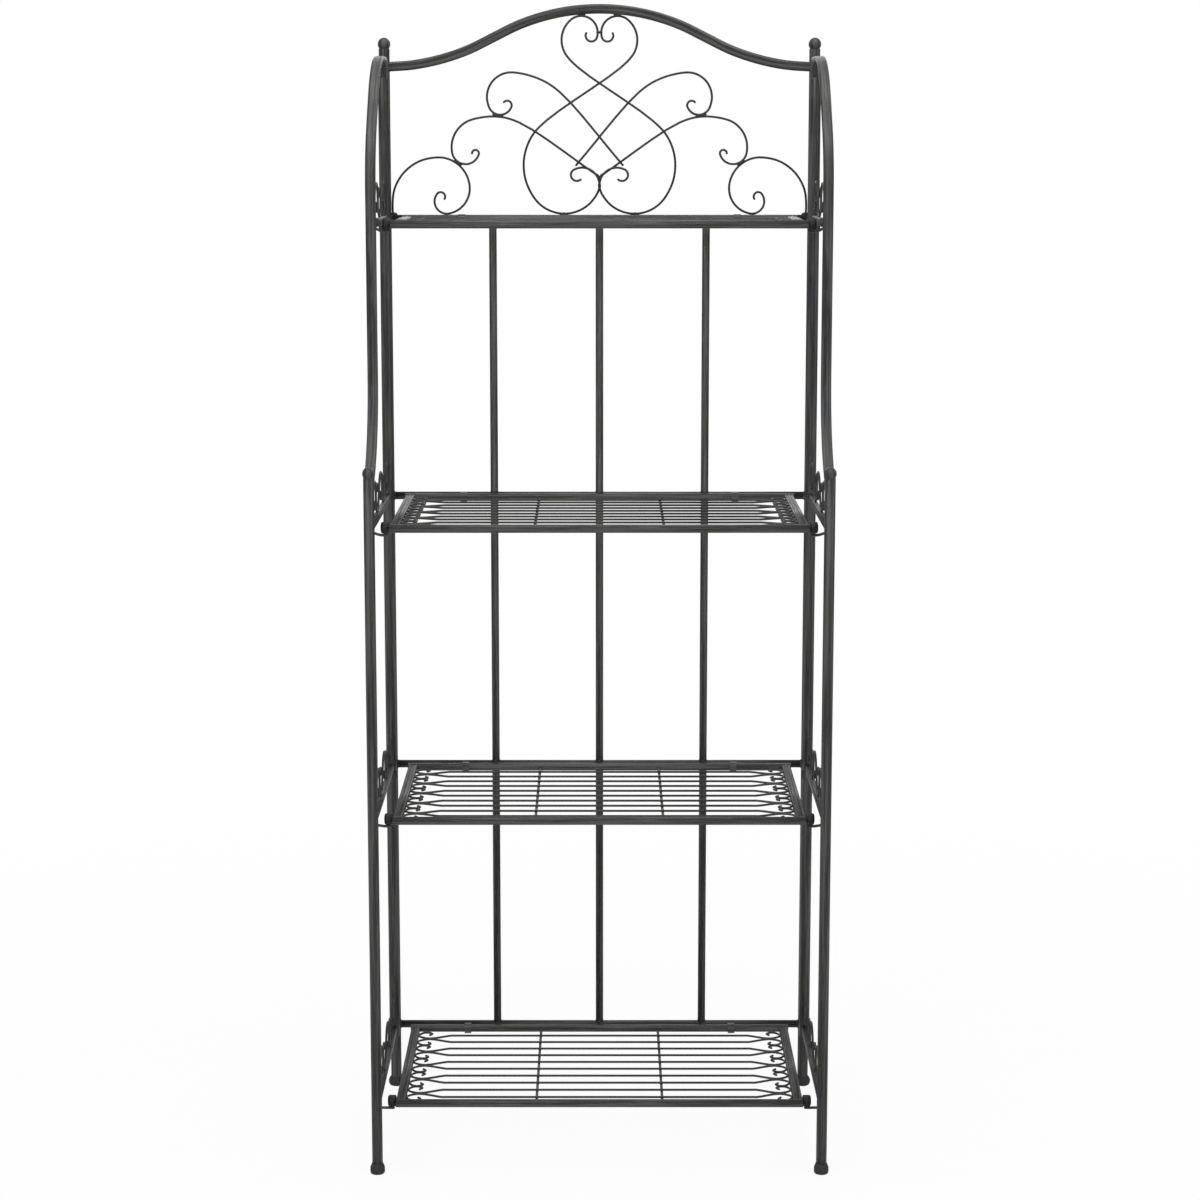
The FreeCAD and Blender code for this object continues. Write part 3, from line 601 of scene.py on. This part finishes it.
def make_arch():
    """The top arch: one flattened tube along the line on which the frame's arch has its grooves."""
    y, deep = middle("top_arch").y, extent("top_arch").y
    groove = 0.38 * deep  # the bottoms of the two grooves lie this far before and behind the centre line
    corners = [v.co for v in NODES["top_arch"].data.vertices]
    corners = [p for p in corners if abs(abs(p.y - y) - groove) < 0.01 * MM]
    places = sorted({(round(p.x, 6), round(p.z, 6)) for p in corners})
    line = [Vector((x, y, z)) for x, z in places]
    first = line[0] + (line[0] - line[1]).normalized() * ARCH_ROOT
    last = line[-1] + (line[-1] - line[-2]).normalized() * ARCH_ROOT
    part = Part("arch_round", "top_arch")
    part.sweep(smooth_through([first, *line, last], steps=4), flattened(ARCH_HEIGHT, deep, ARCH_GROOVE), Y)
    part.finish()


def make_bows():
    """The side bows, flattened tubes from the front legs up, back and over, and their rear uprights."""
    for side, hand in SIDES.items():
        node = f"top_bow_{side}"
        line = bow_line(node)
        first = line[0] - (line[1] - line[0]).normalized() * BOW_ROOT
        top = line[-1].z
        line = [p for p in line if p.y < UPRIGHT.y - 2 * HOOP_RADIUS]
        x = line[0].x
        line.append(Vector((x, UPRIGHT.y - HOOP_RADIUS - 1 * MM, top)))
        path = smooth_through(held_straight([first, *line]), steps=4)
        for step in range(HOOP_STEPS + 1):
            angle = math.pi / 2 * step / HOOP_STEPS
            offset = Y * (math.sin(angle) - 1) + Z * (math.cos(angle) - 1)
            path.append(Vector((x, UPRIGHT.y, top)) + HOOP_RADIUS * offset)
        path.append(path[-1] - Z * HOOP_TAIL)
        part = Part(f"bow_round_{side}", node)
        section = flattened(extent(node).x + BOW_PROUD, BOW_THICKNESS, BOW_GROOVE)
        part.sweep(path, section, -Y)
        part.finish()

        node = f"rear_upright_{side}"
        low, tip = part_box(node)[0].z, top - HOOP_RADIUS
        part = Part(f"upright_round_{side}", node)
        rows = [(POST_RADIUS - UPRIGHT_LIP, low), (POST_RADIUS, low + UPRIGHT_LIP)]
        rows += [(POST_RADIUS - inwards * MM, tip - down * MM) for inwards, down in UPRIGHT_TIP]
        part.turn(rows, Vector((hand * UPRIGHT.x, UPRIGHT.y, 0)), Z)
        part.finish()


# ---------------------------------------------------------------- turned pieces

def ball_profile(tube, height, inset):
    """A ball pressed on a tube's end: a short neck, narrower than the tube, then a squashed globe."""
    radius, neck = tube * BALL_SWELL, tube - inset
    rows = [(neck, 0), (neck, BALL_NECK)]
    squash = (height - BALL_NECK) / (radius * (1 - math.sin(BALL_FIRST)))
    for i in range(1, BALL_STEPS + 1):
        angle = BALL_FIRST + (BALL_LAST - BALL_FIRST) * i / BALL_STEPS
        reach = max(radius * math.cos(angle), neck if angle < 0 else 0)
        rows.append((reach, BALL_NECK + radius * squash * (math.sin(angle) - math.sin(BALL_FIRST))))
    return rows


def foot_profile(rows):
    return [(radius * MM, height * MM) for radius, height in rows[::-1]]


def make_turned():
    """Finials, front legs with their caps, and rubber feet."""
    part = Part("finial_balls", "post_finials")
    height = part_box("post_finials")[1].z - POST_TOP - 0.2 * MM
    finial = ball_profile(POST_RADIUS, height, FINIAL_NECK)
    for hand in SIDES.values():
        part.turn(finial, Vector((hand * POST.x, POST.y, POST_TOP)), Z)
    part.finish()

    feet = Part("rear_feet_moulded", "rear_feet", material=RUBBER)
    for hand in SIDES.values():
        feet.turn(foot_profile(REAR_FOOT), Vector((hand * POST.x, POST.y, 0)), Z)
    feet.finish()

    for side, hand in SIDES.items():
        foot = Part(f"front_foot_moulded_{side}", f"front_foot_{side}", material=RUBBER)
        foot.turn(foot_profile(FRONT_FOOT), Vector((hand * LEG.x, LEG.y, 0)), Z)
        foot.finish()
        low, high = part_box(f"front_leg_{side}")
        leg = Part(f"front_leg_round_{side}", f"front_leg_{side}")
        lip = 0.3 * MM
        tube = [(LEG_RADIUS, low.z), (LEG_RADIUS, LEG_TOP - lip), (LEG_RADIUS - lip, LEG_TOP)]
        leg.turn(tube, Vector((hand * LEG.x, LEG.y, 0)), Z)
        cap = ball_profile(LEG_RADIUS, high.z - LEG_TOP - 1 * MM, CAP_NECK)
        leg.turn(cap, Vector((hand * LEG.x, LEG.y, LEG_TOP)), Z)
        leg.finish()


def make_plugs():
    """Ribbed black plugs on the shelves' sides, and the round hooks that dip under them."""
    for n in SHELVES:
        node = f"shelf_end_plugs_{n}"
        centre, outer = middle(node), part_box(node)[1].x
        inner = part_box(f"shelf_side_rails_{n}")[1].x
        rows = [(PLUG_RADIUS * radius, (outer - inner) * height) for radius, height in PLUG_PROFILE]
        part = Part(f"plugs_ribbed_{n}", node, material=PLASTIC)
        for hand in SIDES.values():
            base = Vector((hand * inner, centre.y, centre.z))
            part.turn(rows, base, hand * X, PLUG_SIDES, PLUG_RIBS, PLUG_RIB_DEPTH)
        part.finish()

    for side, hand in SIDES.items():
        part = Part(f"hooks_round_{side}", f"support_hooks_{side}")
        for n in SHELVES:
            plug = f"shelf_end_plugs_{n}"
            centre, outer = middle(plug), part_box(plug)[1].x
            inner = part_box(f"shelf_side_rails_{n}")[1].x + HOOK_WIRE / 2
            z = centre.z - PLUG_RADIUS - HOOK_GAP - HOOK_WIRE / 2
            root = Vector((hand * POST.x, centre.y - HOOK_REACH, z + HOOK_DIP))
            line = [root, Vector((hand * outer, centre.y, z)), Vector((hand * inner, centre.y, z))]
            part.wire(rounded_corners(line, HOOK_BEND), HOOK_WIRE / 2, Z)
        part.finish()


# ---------------------------------------------------------------- wires

def wire_paths(node, steps=5, straight=False):
    """(smooth centre line, thickness, flat direction) of a node's wires; long runs may be held straight."""
    found = []
    for line, thick, flat in wire_lines(node):
        held = held_straight(line) if straight else line
        path = smooth_through(held, steps) if len(line) > 2 else line
        found.append((path, thick, flat))
    return found


def make_crown():
    """The scrolls of the crown; returns the path of each."""
    paths = {}
    for scroll in ("heart", "upper", "lower", "corner"):
        for side in SIDES:
            node = f"{scroll}_scroll_{side}"
            part = Part(f"{node}_round", node, material=WIRE_PAINT)
            for path, thick, flat in wire_paths(node):
                part.wire(path, thick * SCROLL_SHARE, flat)
                paths[node] = path
            part.finish()
    return paths


def make_galleries():
    """The running scrolls on the side rails, with a bead where two of them touch."""
    for side in SIDES:
        node = f"side_galleries_{side}"
        part = Part(f"{node}_round", node, material=WIRE_PAINT)
        paths = wire_paths(node, steps=6)
        for path, thick, flat in paths:
            part.wire(path, thick * SCROLL_SHARE, flat)
        for (first, thick, _), (second, _, _) in zip(paths, paths[1:]):
            for place, along in meetings(first, second, reach=1.4 * thick):
                part.bead(place, along, length=2.6 * thick, radius=0.5 * thick)
        part.finish()


def make_shelf_wires():
    """The long bent wires of each shelf and the two straight rods under them."""
    for n in SHELVES:
        node = f"shelf_wires_{n}"
        part = Part(f"{node}_round", node, material=WIRE_PAINT)
        for path, thick, flat in wire_paths(node, steps=4, straight=True):
            share = SHELF_WIRE_SHARE if len(path) > 2 else SHELF_ROD_SHARE
            part.wire(path, thick * share, flat, sides=10)
        part.finish()


def make_welds(paths):
    """Beads where the crown's scrolls touch each other, the arch and the top cross rail."""
    part = Part("crown_welds", body=BODY_OF["top_arch"], material=WIRE_PAINT)
    nodes = list(paths)
    for i, first in enumerate(nodes):
        for second in nodes[i + 1:]:
            for place, along in meetings(paths[first], paths[second], reach=1.35 * WIRE):
                part.bead(place, along, length=3.6 * WIRE, radius=0.85 * WIRE)
    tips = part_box("heart_scroll_left")[1].z - 60 * MM  # the hearts' curled tips are above this
    for place, _ in meetings(paths["heart_scroll_left"], paths["heart_scroll_right"], reach=3 * WIRE):
        if place.z > tips:
            part.bead(place, X, length=3.2 * WIRE, radius=0.65 * WIRE)
    arch_y = middle("top_arch").y
    rail_top = LEVELS[-1] + RAIL_RADIUS
    for node, path in paths.items():
        if node.startswith("heart"):
            peak = max(path, key=lambda p: p.z)
            part.bead(Vector((peak.x, arch_y, peak.z + 0.9 * WIRE)), X, length=12 * MM, radius=WIRE)
        low = min(path, key=lambda p: p.z)
        if low.z < rail_top + 1.5 * WIRE:
            part.bead(Vector((low.x, arch_y, rail_top + 0.5 * MM)), X, length=12 * MM, radius=1.1 * WIRE)
    part.finish()


# ---------------------------------------------------------------- stage

WHITE = (1, 1, 1, 1)
WORLD_LIGHT = 0.31       # the world's strength for the object; the camera sees it at 1
FLOOR_COLOUR = (0.9, 0.9, 0.9, 1)
FLOOR_RADIUS = 40
FLOOR_GLOW = 0.93        # the least share of white that the camera sees, under the rack
LIGHTS = (               # name, place, aim, (width, height), watts
    ("top_softbox", (0, -0.5, 3.4), (0, 0, 0.9), (2.6, 1.8), 54),
    ("front_softbox", (-1.6, -3.2, 2.7), (0, 0, 1.1), (1.8, 2.4), 42),
    ("side_softbox", (2.8, -1.6, 1.5), (0, 0, 0.8), (1.2, 2.4), 13),
    ("back_softbox", (0, 3.2, 2.4), (0, 0, 0.8), (2.4, 1.6), 36),
)
CAMERA_PLACE, CAMERA_PITCH = (0.0008, LEG.y - 3.6, 1.4529), 8.76
CAMERA_LENS, CAMERA_SHIFT = 80.05, -0.045


def add_light(name, place, aim, size, power):
    data = bpy.data.lights.new(name, "AREA")
    data.shape, data.size, data.size_y, data.energy = "RECTANGLE", size[0], size[1], power
    item = bpy.data.objects.new(name, data)
    item.location = place
    item.rotation_euler = (Vector(aim) - Vector(place)).to_track_quat("-Z", "Y").to_euler()
    bpy.context.scene.collection.objects.link(item)


def camera_ray(tree):
    return tree.nodes.new("ShaderNodeLightPath").outputs["Is Camera Ray"]


def make_world():
    """A white room for the camera, and an even light for the object."""
    world = bpy.data.worlds.new("studio")
    bpy.context.scene.world = world
    world.use_nodes = True
    tree = world.node_tree
    background = tree.nodes["Background"]
    background.inputs["Color"].default_value = WHITE
    strength = limits(tree, camera_ray(tree), 0, 1, WORLD_LIGHT, 1.0)
    tree.links.new(strength, background.inputs["Strength"])


def make_floor():
    """A pale floor that keeps the rack's shadow near it and fades to white further off."""
    material, tree, surface = shader("pale_floor")
    surface.inputs["Base Color"].default_value = FLOOR_COLOUR
    surface.inputs["Roughness"].default_value = 0.9
    glow = put(tree, "ShaderNodeEmission", Color=WHITE, Strength=1.0)
    blend = tree.nodes.new("ShaderNodeMixShader")
    place = tree.nodes.new("ShaderNodeTexCoord").outputs["Object"]
    spread = put(tree, "ShaderNodeMapping", Vector=place, Scale=(0.4, 0.4, 0.4)).outputs[0]
    fade = put(tree, "ShaderNodeTexGradient", Vector=spread)
    fade.gradient_type = "SPHERICAL"
    share = limits(tree, fade.outputs[1], 0.05, 0.8, 1.0, FLOOR_GLOW)
    seen = tree.nodes.new("ShaderNodeMath")
    seen.operation = "MULTIPLY"
    tree.links.new(camera_ray(tree), seen.inputs[0])
    tree.links.new(share, seen.inputs[1])
    tree.links.new(seen.outputs[0], blend.inputs[0])
    tree.links.new(surface.outputs[0], blend.inputs[1])
    tree.links.new(glow.outputs[0], blend.inputs[2])
    output = next(item for item in tree.nodes if item.type == "OUTPUT_MATERIAL")
    tree.links.new(blend.outputs[0], output.inputs[0])
    bpy.ops.mesh.primitive_circle_add(
        vertices=96, radius=FLOOR_RADIUS, fill_type="NGON", location=(0, 0, CAD_BOX[0].z - 0.5 * MM)
    )
    floor = bpy.context.object
    floor.name = "floor"
    floor.data.materials.append(material)


def make_camera():
    data = bpy.data.cameras.new("camera")
    data.sensor_width, data.lens, data.shift_y = 36, CAMERA_LENS, CAMERA_SHIFT
    item = bpy.data.objects.new("camera", data)
    item.location = CAMERA_PLACE
    item.rotation_euler = (math.radians(90 - CAMERA_PITCH), 0, 0)
    bpy.context.scene.collection.objects.link(item)
    bpy.context.scene.camera = item


make_camera()
make_world()
make_floor()
for light in LIGHTS:
    add_light(*light)
dress_frame()
make_rails()
make_arch()
make_bows()
make_turned()
make_plugs()
scrolls = make_crown()
make_galleries()
make_shelf_wires()
make_welds(scrolls)

bpy.context.scene.view_settings.view_transform = "Standard"
